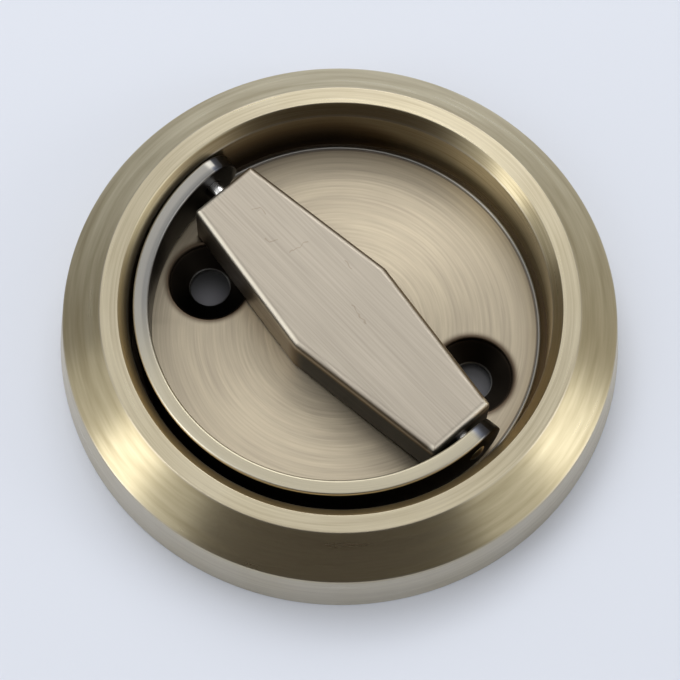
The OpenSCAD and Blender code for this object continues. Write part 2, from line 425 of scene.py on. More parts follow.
def grain_at(tree, place, contrast):
    """Mixes a fine and a coarse noise, read at a stretched place, into one grain value."""
    fine = add_node(
        tree, "ShaderNodeTexNoise", Vector=place, Scale=1.0, Detail=3.0, Roughness=0.6)
    slower = vector_maths(tree, "MULTIPLY", place, COARSE_SQUEEZE)
    coarse = add_node(tree, "ShaderNodeTexNoise", Vector=slower, Scale=1.0, Detail=2.0)
    both = maths(
        tree, "ADD", times(tree, fine.outputs[0], FINE_SHARE),
        times(tree, coarse.outputs[0], COARSE_SHARE))
    centred = times(tree, maths(tree, "SUBTRACT", both, MIDDLE), contrast)
    return maths(tree, "ADD", centred, MIDDLE, clamp=True)


def new_grain_group(name, spread_label, spread, stretch):
    """A group that reads the grain at the place that stretch lays out."""
    group, start, ends = new_group(
        name,
        [("Lines per metre", NUMBER, LINES_PER_METRE), (spread_label, NUMBER, spread),
         ("Contrast", NUMBER, GRAIN_CONTRAST)],
        [("Grain", NUMBER)])
    given = start.outputs
    parts = stretch(group, place_on(group), given)
    place = add_node(group, "ShaderNodeCombineXYZ", **parts).outputs[0]
    wire(group, ends, Grain=grain_at(group, place, given["Contrast"]))
    print(name, "with", len(group.nodes), "nodes")
    return group


print("grain:", FINE_SHARE, "fine and", COARSE_SHARE, "coarse")

# %% Turned grain
TURNED_SPREAD = 5.0


def stretch_round(tree, at, given):
    direction = vector_maths(tree, "NORMALIZE", at.level)
    heading = add_node(tree, "ShaderNodeSeparateXYZ", Vector=direction).outputs
    across = maths(tree, "ADD", at.radius, times(tree, at.z, HEIGHT_SHARE))
    return {"X": times(tree, heading["X"], given["Around"]),
            "Y": times(tree, heading["Y"], given["Around"]),
            "Z": times(tree, across, given["Lines per metre"])}


TURNED_GRAIN = new_grain_group("turned_grain", "Around", TURNED_SPREAD, stretch_round)

# %% Drawn grain
DRAWN_SPREAD = 110.0


def stretch_along(tree, at, given):
    across = maths(tree, "ADD", at.y, times(tree, at.z, HEIGHT_SHARE))
    return {"X": times(tree, at.x, given["Along"]),
            "Z": times(tree, across, given["Lines per metre"])}


DRAWN_GRAIN = new_grain_group("drawn_grain", "Along", DRAWN_SPREAD, stretch_along)

# %% [markdown]
# ## Antique brass
# Antique brass is brass that was darkened with a chemical and then brushed, so that the dark stays in the
# scratches and in the recesses, and bright metal shows on what the brush reached. One group turns a grain
# value and three marks into colour, roughness and height. Shade 0 is freshly brushed brass, and shade 1
# is black; this mark carries the dark patina in hollows and also painted shade. The second mark makes the
# metal pale: mostly wear, and on the bar's edges and the rim's flat ring a painted highlight. The tint is
# a painted warm reflection in amber. A few tiny dark specks lie over all of it. Each piece has its own
# marks, which are placed by its own sizes.

# %% Antique brass group
BRASS_TONES = {
    "Bright": (0.56, 0.49, 0.345), "Dull": (0.45, 0.385, 0.26), "Amber": (0.68, 0.48, 0.22),
    "Brown": (0.15, 0.095, 0.038), "Black": (0.016, 0.013, 0.010), "Worn": (0.86, 0.81, 0.68)}
CLOUDS_PER_METRE = 90.0
CLOUD_SHARE = 0.3
BROWN_SPAN = (0.0, 0.6)
BLACK_SPAN = (0.4, 1.0)
SPECKS_PER_METRE = 55.0
SPECK_RAMP = (0.004, 0.011, 0.7, 0.0)
GRAIN_ROUGHNESS = 0.1
SHADE_ROUGHNESS = 0.12


def brass_colour(group, given, where, cloud):
    """Brushed, then tinted with a painted reflection, darkened by patina and painted shade, speckled, and
    made pale by wear and painted highlights, in that order.
    """
    patchy = times(group, maths(group, "SUBTRACT", cloud, MIDDLE), CLOUD_SHARE)
    share = maths(group, "ADD", given["Grain"], patchy, clamp=True)
    tone = blend_colour(group, share, given["Dull"], given["Bright"])
    tone = blend_colour(group, given["Tint"], tone, given["Amber"])
    brown = ramp_between(group, given["Shade"], *BROWN_SPAN)
    tone = blend_colour(group, brown, tone, given["Brown"])
    black = ramp_between(group, given["Shade"], *BLACK_SPAN)
    tone = blend_colour(group, black, tone, given["Black"])
    speck = add_node(group, "ShaderNodeTexVoronoi", Vector=where, Scale=SPECKS_PER_METRE)
    spots = ramp_between(group, speck.outputs["Distance"], *SPECK_RAMP)
    tone = blend_colour(group, spots, tone, given["Black"])
    # The pale tone: wear, and on the bar's edges and the rim's flat ring a painted highlight.
    uneven = times(group, given["WearAndHighlight"], maths(group, "ADD", MIDDLE, cloud))
    return blend_colour(group, uneven, tone, given["Worn"])


def antique_brass_group():
    marks = [("Grain", NUMBER, 0.5), ("Shade", NUMBER, 0.0), ("WearAndHighlight", NUMBER, 0.0),
             ("Tint", NUMBER, 0.0), ("Smooth", NUMBER, 0.3)]
    tones = [(name, COLOUR, None) for name in BRASS_TONES]
    group, start, ends = new_group(
        "antique_brass", marks + tones,
        [("Colour", COLOUR), ("Roughness", NUMBER), ("Height", NUMBER)])
    given = start.outputs
    where = add_node(group, "ShaderNodeTexCoord").outputs["Object"]
    cloud = add_node(
        group, "ShaderNodeTexNoise", Vector=where, Scale=CLOUDS_PER_METRE, Detail=3.0).outputs[0]
    low = times(group, maths(group, "SUBTRACT", MIDDLE, given["Grain"]), GRAIN_ROUGHNESS)
    rough = maths(group, "ADD", given["Smooth"], low)
    rough = maths(group, "ADD", rough, times(group, given["Shade"], SHADE_ROUGHNESS))
    tone = brass_colour(group, given, where, cloud)
    wire(group, ends, Colour=tone, Roughness=rough, Height=given["Grain"])
    return group


ANTIQUE_BRASS = antique_brass_group()
print(ANTIQUE_BRASS.name, "blends", list(BRASS_TONES))

# %% [markdown]
# ## A brass material
# A material reads its grain, asks for its marks and gives both to the brass group. On turned faces the
# highlight is stretched across the grain, as it is on real turned metal, where the fine grooves spread
# light mostly sideways.

# %% Brass material
GRAIN_DEPTH = 0.008 * MM
QUARTER_TURN = 0.25


def brass_material(name, grain_group, marks_of, smooth, tones, anisotropic=0.0, bump=0.1,
                   **grain_values):
    """An antique brass finish; marks_of(tree) gives its shade, its wear and painted highlight, and its
    tint.
    """
    material, tree, shader = new_material(name)
    grain = add_node(tree, "ShaderNodeGroup", {"node_tree": grain_group}, **grain_values)
    finish = add_node(
        tree, "ShaderNodeGroup", {"node_tree": ANTIQUE_BRASS},
        Grain=grain.outputs["Grain"], Smooth=smooth, **marks_of(tree))
    for key, colour in {**BRASS_TONES, **tones}.items():
        feed(tree, finish.inputs[key], (*colour, 1))
    relief = add_node(
        tree, "ShaderNodeBump", Strength=bump, Distance=GRAIN_DEPTH,
        Height=finish.outputs["Height"])
    wire(tree, shader, Metallic=1.0, Base_Color=finish.outputs["Colour"],
         Roughness=finish.outputs["Roughness"], Normal=relief.outputs["Normal"])
    if anisotropic:
        lay = add_node(tree, "ShaderNodeTangent", {"direction_type": "RADIAL", "axis": "Z"})
        wire(tree, shader, Tangent=lay.outputs["Tangent"], Anisotropic=anisotropic,
             Anisotropic_Rotation=QUARTER_TURN)
    return material


print("grain depth %.3f mm" % (GRAIN_DEPTH / MM))

# %% [markdown]
# ## A lathe made of Geometry Nodes
# Most of this handle was turned on a lathe, and a lathe follows one rule: a half profile swept once round
# an axis. The tree below takes the profile as a row of points, makes a grid with one column for every
# step of the turn, and moves each grid point to its profile point, rotated by its step. Merging points
# that meet closes the seam and the poles.

# %% Lathe tree
MERGE_REACH = 0.001 * MM
COUNT_MARGIN = 0.01


def lathe_tree():
    tree = bpy.data.node_groups.new("lathe", "GeometryNodeTree")
    for label, kind in (("Profile", "NodeSocketGeometry"), ("Steps", "NodeSocketInt"),
                        ("Profile Points", "NodeSocketInt"), ("Material", "NodeSocketMaterial")):
        tree.interface.new_socket(label, in_out="INPUT", socket_type=kind)
    tree.interface.new_socket("Turned", in_out="OUTPUT", socket_type="NodeSocketGeometry")
    given = tree.nodes.new("NodeGroupInput").outputs
    count = given["Profile Points"]
    columns = maths(tree, "ADD", given["Steps"], 1.0)
    grid = add_node(tree, "GeometryNodeMeshGrid", Vertices_X=columns, Vertices_Y=count)
    number = tree.nodes.new("GeometryNodeInputIndex").outputs[0]
    past = maths(tree, "ADD", number, COUNT_MARGIN)
    column = maths(tree, "FLOOR", maths(tree, "DIVIDE", past, count))
    row = maths(tree, "MODULO", number, count)
    place = tree.nodes.new("GeometryNodeInputPosition").outputs[0]
    pick = add_node(
        tree, "GeometryNodeSampleIndex", {"data_type": "FLOAT_VECTOR", "domain": "POINT"},
        Geometry=given["Profile"], Value=place, Index=row)
    angle = times(tree, maths(tree, "DIVIDE", column, given["Steps"]), math.tau)
    spun = add_node(
        tree, "ShaderNodeVectorRotate", {"rotation_type": "Z_AXIS"},
        Vector=pick.outputs[0], Angle=angle)
    shaped = add_node(
        tree, "GeometryNodeSetPosition", Geometry=grid.outputs["Mesh"], Position=spun.outputs[0])
    closed = add_node(
        tree, "GeometryNodeMergeByDistance", Geometry=shaped.outputs[0], Distance=MERGE_REACH)
    plain = add_node(tree, "GeometryNodeRealizeInstances", Geometry=closed.outputs[0])
    painted = add_node(
        tree, "GeometryNodeSetMaterial", Geometry=plain.outputs[0], Material=given["Material"])
    add_node(tree, "NodeGroupOutput", Turned=painted.outputs[0])
    return tree


LATHE = lathe_tree()
print("lathe tree with", len(LATHE.nodes), "nodes")

# %% [markdown]
# ## Settle a mesh and turn a profile
# Each new mesh is settled once: its faces are pointed outwards, and the shading of a corner is weighed by
# the size of the faces round it, so a broad face looks flat right up to its rounded edge.

# %% Settle a mesh
SMOOTH_ANGLE = math.radians(32)


def finished_mesh(holder):
    """The mesh of an object with its modifiers applied; the object itself is removed."""
    graph = bpy.context.evaluated_depsgraph_get()
    mesh = bpy.data.meshes.new_from_object(holder.evaluated_get(graph))
    bpy.data.objects.remove(holder)
    return mesh


def settle(mesh, name, material):
    """Points faces outwards and shades smooth; clear corners stay sharp."""
    work = bmesh.new()
    work.from_mesh(mesh)
    bmesh.ops.recalc_face_normals(work, faces=work.faces)
    for face in work.faces:
        face.material_index = 0
    work.to_mesh(mesh)
    work.free()
    mesh.materials.clear()
    mesh.materials.append(material)
    mesh.shade_smooth()
    mesh.set_sharp_from_angle(angle=SMOOTH_ANGLE)
    holder = new_object(name, mesh)
    by_area = holder.modifiers.new("by_area", "WEIGHTED_NORMAL")
    by_area.keep_sharp = True
    result = finished_mesh(holder)
    result.name = name
    return result


print("corners over %.0f degrees stay sharp" % math.degrees(SMOOTH_ANGLE))

# %% Turn a profile
def set_tree_input(modifier, label, value):
    """A modifier knows its inputs by identifier, so the label is looked up first."""
    for item in modifier.node_group.interface.items_tree:
        if item.item_type == "SOCKET" and item.in_out == "INPUT" and item.name == label:
            modifier[item.identifier] = value


def turned_mesh(name, profile, material, steps):
    """A closed mesh from a half profile of (radius, height) points in millimetres."""
    points = bpy.data.meshes.new(name + "_profile")
    points.from_pydata([(r * MM, 0, z * MM) for r, z in profile], [], [])
    holder = new_object(name + "_profile", points)
    lathe = holder.modifiers.new("lathe", "NODES")
    lathe.node_group = LATHE
    set_tree_input(lathe, "Steps", steps)
    set_tree_input(lathe, "Profile Points", len(profile))
    set_tree_input(lathe, "Material", material)
    return settle(finished_mesh(holder), name, material)


def arc(across, up, wide, high, angles):
    """Points of an arc about a middle, with its own reach in each direction."""
    turns = [math.radians(angle) for angle in angles]
    return [(across + wide * math.cos(t), up + high * math.sin(t)) for t in turns]


print("turning:", turned_mesh.__name__, arc.__name__)

# %% Round the corners
CORNER_STEPS = 5


def rounded(corners, steps=CORNER_STEPS):
    """A closed outline with its corners (x, y, radius) rounded; the first point is repeated."""
    points = []
    for n, (x, y, radius) in enumerate(corners):
        if radius <= 0:
            points.append((x, y))
            continue
        here = Vector((x, y))
        before = Vector(corners[n - 1][:2])
        after = Vector(corners[(n + 1) % len(corners)][:2])
        back = (before - here).normalized()
        forth = (after - here).normalized()
        half = back.angle(forth) / 2
        reach = radius / math.tan(half)
        centre = here + (back + forth).normalized() * (radius / math.sin(half))
        first = here + back * reach - centre
        last = here + forth * reach - centre
        sweep = first.angle_signed(last)
        for k in range(steps + 1):
            spoke = Matrix.Rotation(-sweep * k / steps, 2) @ first
            points.append(tuple(centre + spoke))
    return points + [points[0]]


print("a rounded corner has", CORNER_STEPS + 1, "points")

# %% Place a piece
def place_piece(name, mesh, body, slot, *nodes):
    """Puts a finished mesh in the scene in place of its CAD nodes."""
    piece = new_object(name, mesh)
    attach(piece, body)
    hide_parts(*nodes)
    print(name, len(mesh.vertices), "points, rides on", body)


# %% [markdown]
# ## The rim of the rose
# The rim is one turned ring: a low outer wall, a broad cone, a narrow flat ring on top, a chamfer at the
# mouth and the wall of the cup. Its corners are broken by the lathe tool, so each has a tiny radius that
# catches light. The wall of the cup is darker towards the bottom and painted lighter toward one side, as
# painted light. The chamfer at the mouth is painted lighter toward that side and darker toward another,
# as painted light and shade, and the side opposite the darker one has a painted amber reflection. The
# flat ring on top is painted a little paler, as painted light.

# %% Rim profile
RIM_BASE_R = 37.9
CONE_FOOT_R = 37.0
WALL_H = 7.5
RIM_H = 12.05
FLAT_OUTER_R = 31.7
MOUTH_R = 29.4
CUP_R = 28.1
MOUTH_Z = 10.5
SEAT_R = 29.0
SEAT_H = 1.9
OUTER_ROUND = 0.3
MOUTH_ROUND = 0.15
LIP_ROUND = 0.2

rim_profile = rounded([
    (SEAT_R, 0, 0), (RIM_BASE_R, 0, OUTER_ROUND), (CONE_FOOT_R, WALL_H, OUTER_ROUND),
    (FLAT_OUTER_R, RIM_H, OUTER_ROUND), (MOUTH_R, RIM_H, MOUTH_ROUND),
    (CUP_R, MOUTH_Z, LIP_ROUND), (CUP_R, SEAT_H, 0), (SEAT_R, SEAT_H, 0)])
print("rim", 2 * RIM_BASE_R, "mm wide, profile of", len(rim_profile), "points")

# %% Rim marks
# Painted light and shade: the rim is painted lighter toward the first side and darker toward the second.
PAINTED_LIGHT_SIDE = (0.70, 0.714)
PAINTED_SHADE_SIDE = (-0.714, 0.70)
EDGE_REACH = 0.25
EDGE_WEAR = 0.3
LIP_BAND = (CUP_R + 0.1, 0.2)
LIP_HEIGHT_BAND = (MOUTH_Z, 0.3)
# Each row: two limits in millimetres, then the value at each of them where it isn't 0 and 1
RIM_FADES = {
    "inside": (CUP_R + 0.35, CUP_R + 0.05),
    "deep": (MOUTH_Z, 5.0, 0.36, 0.78),
    "cup painted light": (-4, 20, 1.0, 0.05),
    "chamfer": (MOUTH_R + 0.05, MOUTH_R - 0.25),
    "chamfer painted shade": (2, 24, 0.04, 0.32),
    "chamfer painted light": (8, 24, 1.0, 0.0),
    "wall": (WALL_H - 0.1, WALL_H - 0.6, 0.0, 0.55),
    "outside": (SEAT_R + 4, SEAT_R + 5),
    # painted light: the flat ring on top is made a little paler
    "flat top": (RIM_H - 0.12, RIM_H - 0.02, 0.0, 0.25),
    "mouth": (MOUTH_R + 0.05, MOUTH_R - 0.2),
    # painted warm reflection: an amber tint in the mouth, opposite the darker side
    "amber": (12, -16, 0.0, 0.8),
}


def along_side(tree, at, side):
    """How far a place lies toward one side of the rose."""
    return maths(tree, "ADD", times(tree, at.x, side[0]), times(tree, at.y, side[1]))


def rim_marks(tree):
    at = place_on(tree)
    step = fades_from(tree, RIM_FADES)
    to_painted_light = along_side(tree, at, PAINTED_LIGHT_SIDE)
    to_painted_shade = along_side(tree, at, PAINTED_SHADE_SIDE)
    # Painted light and shade: the cup is darker towards the bottom and painted lighter toward one side,
    # and the chamfer is painted darker toward one side and lighter toward another.
    cup = times(
        tree, step("inside", at.radius), step("deep", at.z), step("cup painted light", to_painted_light))
    chamfer = times(
        tree, step("chamfer painted shade", to_painted_shade), step("chamfer painted light", to_painted_light),
        step("chamfer", at.radius))
    foot = band(tree, at.radius, CONE_FOOT_R, EDGE_REACH)
    crest = band(tree, at.radius, FLAT_OUTER_R, EDGE_REACH)
    lip = times(tree, band(tree, at.radius, *LIP_BAND), band(tree, at.z, *LIP_HEIGHT_BAND))
    edges = times(tree, most(tree, foot, crest, lip), EDGE_WEAR)
    wall = times(tree, step("wall", at.z), step("outside", at.radius))
    # Painted reflection: a warm amber tint in the mouth, opposite the darker side.
    tint = times(tree, step("mouth", at.radius), step("amber", to_painted_shade))
    return {"Shade": most(tree, cup, chamfer),
            "WearAndHighlight": most(tree, step("flat top", at.z), edges, wall), "Tint": tint}


print("rim marks:", list(RIM_FADES))

# %% Rim
RIM_TURN_STEPS = 256

rim_brass = brass_material(
    "rim_brass", TURNED_GRAIN, rim_marks, smooth=0.31, anisotropic=0.6, bump=0.06,
    tones={"Bright": (0.605, 0.535, 0.36), "Dull": (0.36, 0.30, 0.178),
           "Worn": (0.60, 0.56, 0.49)},
    Lines_per_metre=3200.0, Around=1.9, Contrast=2.7)
rim_mesh = turned_mesh("rim", rim_profile, rim_brass, RIM_TURN_STEPS)
place_piece("rim", rim_mesh, "rose", "rim_brass", "rose_rim")

# %% [markdown]
# ## The floor of the cup
# The floor is a plate with a fine bead round its edge and two sunk fixing holes. It starts as a turned
# disc. Two turned plugs with the shape of a fixing hole are then cut away from it. The plugs have a soft
# round lip, because the holes were polished over before they were darkened. The bead and the edges of
# the holes are worn to a plain grey, and the crease beside the bead stays dark.

# %% Floor profiles
FLOOR_H = 3.0
BEAD_R = 0.24
FLOOR_EDGE_R = 27.15
BEAD_MID_R = FLOOR_EDGE_R - BEAD_R
FIXING_HOLE_R = 2.7
SINK_R = 5.3
SINK_H = 2.3
LIP_R = 0.55
BUSH_SEAT_R = 5.4
REAR_ROOM_R = 8.0
REAR_ROOM_H = 1.8
CUT_MARGIN = 1

bead_arc = arc(BEAD_MID_R, FLOOR_H, BEAD_R, BEAD_R, range(0, 181, 20))
floor_profile = [
    (BUSH_SEAT_R, REAR_ROOM_H), (REAR_ROOM_R, REAR_ROOM_H), (REAR_ROOM_R, 0), (SEAT_R, 0),
    (SEAT_R, SEAT_H), (FLOOR_EDGE_R, SEAT_H), *bead_arc, (BUSH_SEAT_R, FLOOR_H),
    (BUSH_SEAT_R, REAR_ROOM_H)]
lip_arc = arc(SINK_R + LIP_R, FLOOR_H - LIP_R, -LIP_R, LIP_R, range(0, 91, 10))
plug_profile = [
    (0, -CUT_MARGIN), (FIXING_HOLE_R, -CUT_MARGIN), (FIXING_HOLE_R, FLOOR_H - SINK_H), *lip_arc,
    (SINK_R + LIP_R, FLOOR_H + CUT_MARGIN), (0, FLOOR_H + CUT_MARGIN)]
print("floor profile:", len(floor_profile), "points, plug:", len(plug_profile), "points")

# %% Floor marks
CREASE_R = FLOOR_EDGE_R - 2 * BEAD_R - 0.05
CREASE_REACH = 0.22
CREASE_SHADE = 0.45
BEAD_WEAR = 0.85
BESIDE_BEAD_REACH = 0.5
BESIDE_BEAD_WEAR = 0.4
HOLE_EDGE_REACH = 0.2
HOLE_EDGE_WEAR = 0.6
FLOOR_FADES = {
    "edge": (24.5, 26.6, 0.0, 0.2),
    "groove": (FLOOR_H - 0.05, FLOOR_H - 0.5, 0.0, 0.45),
    "sunk": (SINK_R + LIP_R + 0.9, SINK_R - 0.5),
    "bead": (FLOOR_H + 0.02, FLOOR_H + 0.12),
}


def floor_marks(tree):
    at = place_on(tree)
    step = fades_from(tree, FLOOR_FADES)
    from_holes = [distance_from(tree, at.level, x, y) for x, y in fixing_places]
    sunk = [step("sunk", apart) for apart in from_holes]
    crease = times(tree, band(tree, at.radius, CREASE_R, CREASE_REACH), CREASE_SHADE)
    shade = most(tree, step("edge", at.radius), crease, step("groove", at.z), *sunk)
    bead = step("bead", at.z)
    beside = band(tree, at.radius, BEAD_MID_R, BESIDE_BEAD_REACH)
    hole_edges = [band(tree, apart, FIXING_HOLE_R, HOLE_EDGE_REACH) for apart in from_holes]
    worn = most(
        tree, times(tree, bead, BEAD_WEAR), times(tree, beside, BESIDE_BEAD_WEAR),
        times(tree, most(tree, *hole_edges), HOLE_EDGE_WEAR))
    return {"Shade": times(tree, shade, rest_of(tree, bead)), "WearAndHighlight": worn}


floor_brass = brass_material(
    "floor_brass", TURNED_GRAIN, floor_marks, smooth=0.34, anisotropic=0.75,
    tones={"Bright": (0.58, 0.505, 0.37), "Dull": (0.385, 0.33, 0.255),
           "Brown": (0.13, 0.095, 0.065), "Worn": (0.27, 0.27, 0.26)},
    Lines_per_metre=3200.0, Around=1.8, Contrast=1.9)
print("floor marks:", list(FLOOR_FADES))

# %% Cut one mesh from another
def cut_away(mesh, name, material, cutters):
    """The mesh with the cutter meshes subtracted, as a new settled mesh."""
    body = new_object(name, mesh)
    tools = [new_object(name + "_cutter", cutter) for cutter in cutters]
    for tool in tools:
        cut = body.modifiers.new("cut", "BOOLEAN")
        cut.operation = "DIFFERENCE"
        cut.solver = "EXACT"
        cut.object = tool
    result = finished_mesh(body)
    for tool in tools:
        bpy.data.objects.remove(tool)
    return settle(result, name, material)


print("cutting:", cut_away.__name__)

# %% Floor plate
FLOOR_TURN_STEPS = 192
PLUG_TURN_STEPS = 64

plugs = []
for hole_x, hole_y in fixing_places:
    plug = turned_mesh("plug", plug_profile, floor_brass, PLUG_TURN_STEPS)
    plug.transform(Matrix.Translation((hole_x * MM, hole_y * MM, 0)))
    plugs.append(plug)
floor_disc = turned_mesh("floor", floor_profile, floor_brass, FLOOR_TURN_STEPS)
floor_mesh = cut_away(floor_disc, "floor", floor_brass, plugs)
place_piece("floor", floor_mesh, "rose", "floor_brass", "floor_plate")

# %% [markdown]
# ## The turn bar
# The bar is a block with a six-sided outline, with a small circle at each corner. Moving all six sides
# inwards gives the outline further up the rounded edge, so the edge is a true fillet that follows every
# corner.

# %% Bar outline
BAR_HALF_L = 23.35
BAR_END_HALF = 5.05
BAR_MID_HALF = 8.2
BAR_MID_ROUND = 2.0
BAR_END_ROUND = 0.5
BAR_CORNER_MIN = 0.05
ARC_STEPS = 6


def bar_circles(inset):
    """The six corner circles (x, y, radius) of the outline, moved inwards."""
    lean = math.atan((BAR_MID_HALF - BAR_END_HALF) / BAR_HALF_L)
    end_r = max(BAR_END_ROUND - inset, BAR_CORNER_MIN)
    mid_r = max(BAR_MID_ROUND - inset, BAR_CORNER_MIN)
    end_x = BAR_HALF_L - inset - end_r
    end_y = BAR_END_HALF - (inset + end_r) * (1 - math.sin(lean)) / math.cos(lean)
    mid_y = BAR_MID_HALF - (inset + mid_r) / math.cos(lean)
    return [(end_x, -end_y, end_r), (end_x, end_y, end_r), (0, mid_y, mid_r),
            (-end_x, end_y, end_r), (-end_x, -end_y, end_r), (0, -mid_y, mid_r)]


def bar_outline(inset):
    """Points round the bar at an inset, always the same number, starting at the right end."""
    circles = bar_circles(inset)
    normals = []
    for n, (x, y, r) in enumerate(circles):
        after = circles[(n + 1) % len(circles)]
        along = Vector((after[0] - x, after[1] - y))
        tilt = math.asin((r - after[2]) / along.length)
        normals.append(math.atan2(along.y, along.x) - math.pi / 2 + tilt)
    points = []
    for n, (x, y, r) in enumerate(circles):
        sweep = (normals[n] - normals[n - 1]) % math.tau
        for k in range(ARC_STEPS + 1):
            angle = normals[n - 1] + sweep * k / ARC_STEPS
            points.append((x + r * math.cos(angle), y + r * math.sin(angle)))
    return points


print("bar outline:", len(bar_outline(0)), "points")

# %% Bar block
BAR_LOW = 3.3
BAR_TOP = 11.1
BAR_EDGE = 1.0
BAR_LOW_BEVEL = 0.25
FILLET_STEPS = 8


def skin(name, rows):
    """A closed mesh over loops of points in millimetres, filled at both ends."""
    work = bmesh.new()
    loops = [[work.verts.new([part * MM for part in point]) for point in row] for row in rows]
    for here, there in zip(loops, loops[1:]):
        for n in range(len(here)):
            m = (n + 1) % len(here)
            work.faces.new((here[n], here[m], there[m], there[n]))
    work.faces.new(loops[-1])
    work.faces.new(list(reversed(loops[0])))
    bmesh.ops.recalc_face_normals(work, faces=work.faces)
    mesh = bpy.data.meshes.new(name)
    work.to_mesh(mesh)
    work.free()
    return mesh


def bar_rows():
    levels = [(BAR_LOW_BEVEL, BAR_LOW), (0.0, BAR_LOW + BAR_LOW_BEVEL)]
    angles = [90 * k / FILLET_STEPS for k in range(FILLET_STEPS + 1)]
    levels += arc(BAR_EDGE, BAR_TOP - BAR_EDGE, -BAR_EDGE, BAR_EDGE, angles)
    return [[(x, y, z) for x, y in bar_outline(inset)] for inset, z in levels]


bar_block = skin("bar", bar_rows())
print("bar block:", len(bar_block.vertices), "points")

# %% [markdown]
# ## Scratches and marks on the bar
# The brush ran along the bar. One half of its front edge and the top edge at one end are pale, partly from
# wear and partly as a painted highlight, and the side under that half is painted paler as a painted
# reflection. The sides are painted darker towards the bottom, and the rest of the front edge and the far
# edge are painted darker, all as painted shade. A few fine scratches cross the top. Each scratch is a line
# between two points, shaken by noise. It could also be cut into the mesh, but it is far thinner than any
# face there.

# %% Scratch group
SCRATCH_HALF = 0.11 * MM
SCRATCH_CORE = 0.4
SCRATCH_SHADE = 0.2
SCRATCH_WAVES = 900.0
SCRATCH_DRIFT = 0.9 * MM


def stroke_group():
    """How strongly a place is marked by a thin scratch between two points."""
    group, start, ends = new_group(
        "stroke", [("Place", VECTOR, None), ("First", VECTOR, None), ("Last", VECTOR, None)],
        [("Mark", NUMBER)])
    given = start.outputs
    shiver = add_node(
        group, "ShaderNodeTexNoise", Vector=given["Place"], Scale=SCRATCH_WAVES, Detail=1.0)
    drift = vector_maths(
        group, "MULTIPLY_ADD", shiver.outputs["Color"], (SCRATCH_DRIFT, SCRATCH_DRIFT, 0),
        (-SCRATCH_DRIFT / 2, -SCRATCH_DRIFT / 2, 0))
    moved = vector_maths(group, "ADD", given["Place"], drift)
    along = vector_maths(group, "SUBTRACT", given["Last"], given["First"])
    away = vector_maths(group, "SUBTRACT", moved, given["First"])
    reach = vector_maths(group, "DOT_PRODUCT", away, along, result="Value")
    whole = vector_maths(group, "DOT_PRODUCT", along, along, result="Value")
    share = maths(group, "DIVIDE", reach, whole, clamp=True)
    foot = add_node(
        group, "ShaderNodeVectorMath", {"operation": "SCALE"}, (along,), Scale=share).outputs[0]
    apart = vector_maths(group, "DISTANCE", away, foot, result="Value")
    mark = ramp_between(
        group, apart, SCRATCH_HALF * SCRATCH_CORE, SCRATCH_HALF, SCRATCH_SHADE, 0.0)
    wire(group, ends, Mark=mark)
    return group


STROKE = stroke_group()
BAR_SCRATCHES = [
    ((-18.2, 0.7), (-17.7, 1.5)), ((-17.7, 1.5), (-16.3, 1.6)), ((-13.8, -0.7), (-12.8, -0.6)),
    ((-12.8, -0.6), (-12.6, 0.4)), ((-10.1, 0.2), (-9.7, 3.1)), ((-4.4, 4.9), (-2.9, 4.7)),
    ((1.0, 1.1), (4.2, 0.7))]


def scratch(tree, place, first, last):
    stroke = add_node(
        tree, "ShaderNodeGroup", {"node_tree": STROKE}, Place=place,
        First=(first[0] * MM, first[1] * MM, 0), Last=(last[0] * MM, last[1] * MM, 0))
    return stroke.outputs["Mark"]


print(len(BAR_SCRATCHES), "scratches,", 2 * SCRATCH_HALF / MM, "mm wide")

# %% Bar marks
# Painted reflection on the side under the left half of the front edge, and pale edges that are partly wear
# and partly a painted highlight
LEFT_SIDE_REFLECTION = 0.7
BAR_WEAR_AND_HIGHLIGHT = 0.5
BAR_EDGE_BAND = (BAR_TOP - BAR_EDGE * 0.3, BAR_EDGE * 0.45)
BAR_FADES = {
    "front": (1.0, -1.0),
    "left": (2.0, -2.0),
    "right end": (BAR_HALF_L - 1.4, BAR_HALF_L - 0.8),
    "side": (BAR_TOP - BAR_EDGE * 0.5, 8.6, 0.0, 0.96),
    "front edge shade": (BAR_TOP - 0.1, BAR_TOP - 0.6, 0.0, 0.32),
    "far edge": (BAR_TOP - 0.02, BAR_TOP - 0.2, 0.0, 0.35),
    "below top": (BAR_TOP - 0.01, BAR_TOP - 0.1),
}


def bar_marks(tree):
    at = place_on(tree)
    step = fades_from(tree, BAR_FADES)
    front = step("front", at.y)
    left_front = times(tree, front, step("left", at.x))
    right_end = step("right end", at.x)
    # Pale edges: partly wear, partly a painted highlight.
    wear_and_highlight = most(tree, left_front, right_end)
    # Painted reflection: the side under the left half of the front edge is painted paler.
    left_side_reflection = times(tree, left_front, LEFT_SIDE_REFLECTION)
    # Painted shade: the sides darker towards the bottom.
    side = times(tree, step("side", at.z), rest_of(tree, left_side_reflection))
    # Painted shade on the rest of the front edge and on the far edge.
    front_edge_shade = times(tree, step("front edge shade", at.z), front, rest_of(tree, wear_and_highlight))
    behind = rest_of(tree, most(tree, front, right_end))
    far_edge = times(tree, step("far edge", at.z), behind)
    scratches = [scratch(tree, at.level, *ends) for ends in BAR_SCRATCHES]
    edge = times(tree, band(tree, at.z, *BAR_EDGE_BAND), step("below top", at.z))
    return {"Shade": most(tree, side, far_edge, front_edge_shade, *scratches),
            "WearAndHighlight": times(tree, edge, wear_and_highlight, BAR_WEAR_AND_HIGHLIGHT)}


bar_brass = brass_material(
    "bar_brass", DRAWN_GRAIN, bar_marks, smooth=0.42,
    tones={"Bright": (0.525, 0.47, 0.39), "Dull": (0.355, 0.317, 0.262)},
    Lines_per_metre=3600.0, Along=60.0, Contrast=1.8)
print("bar marks:", list(BAR_FADES))

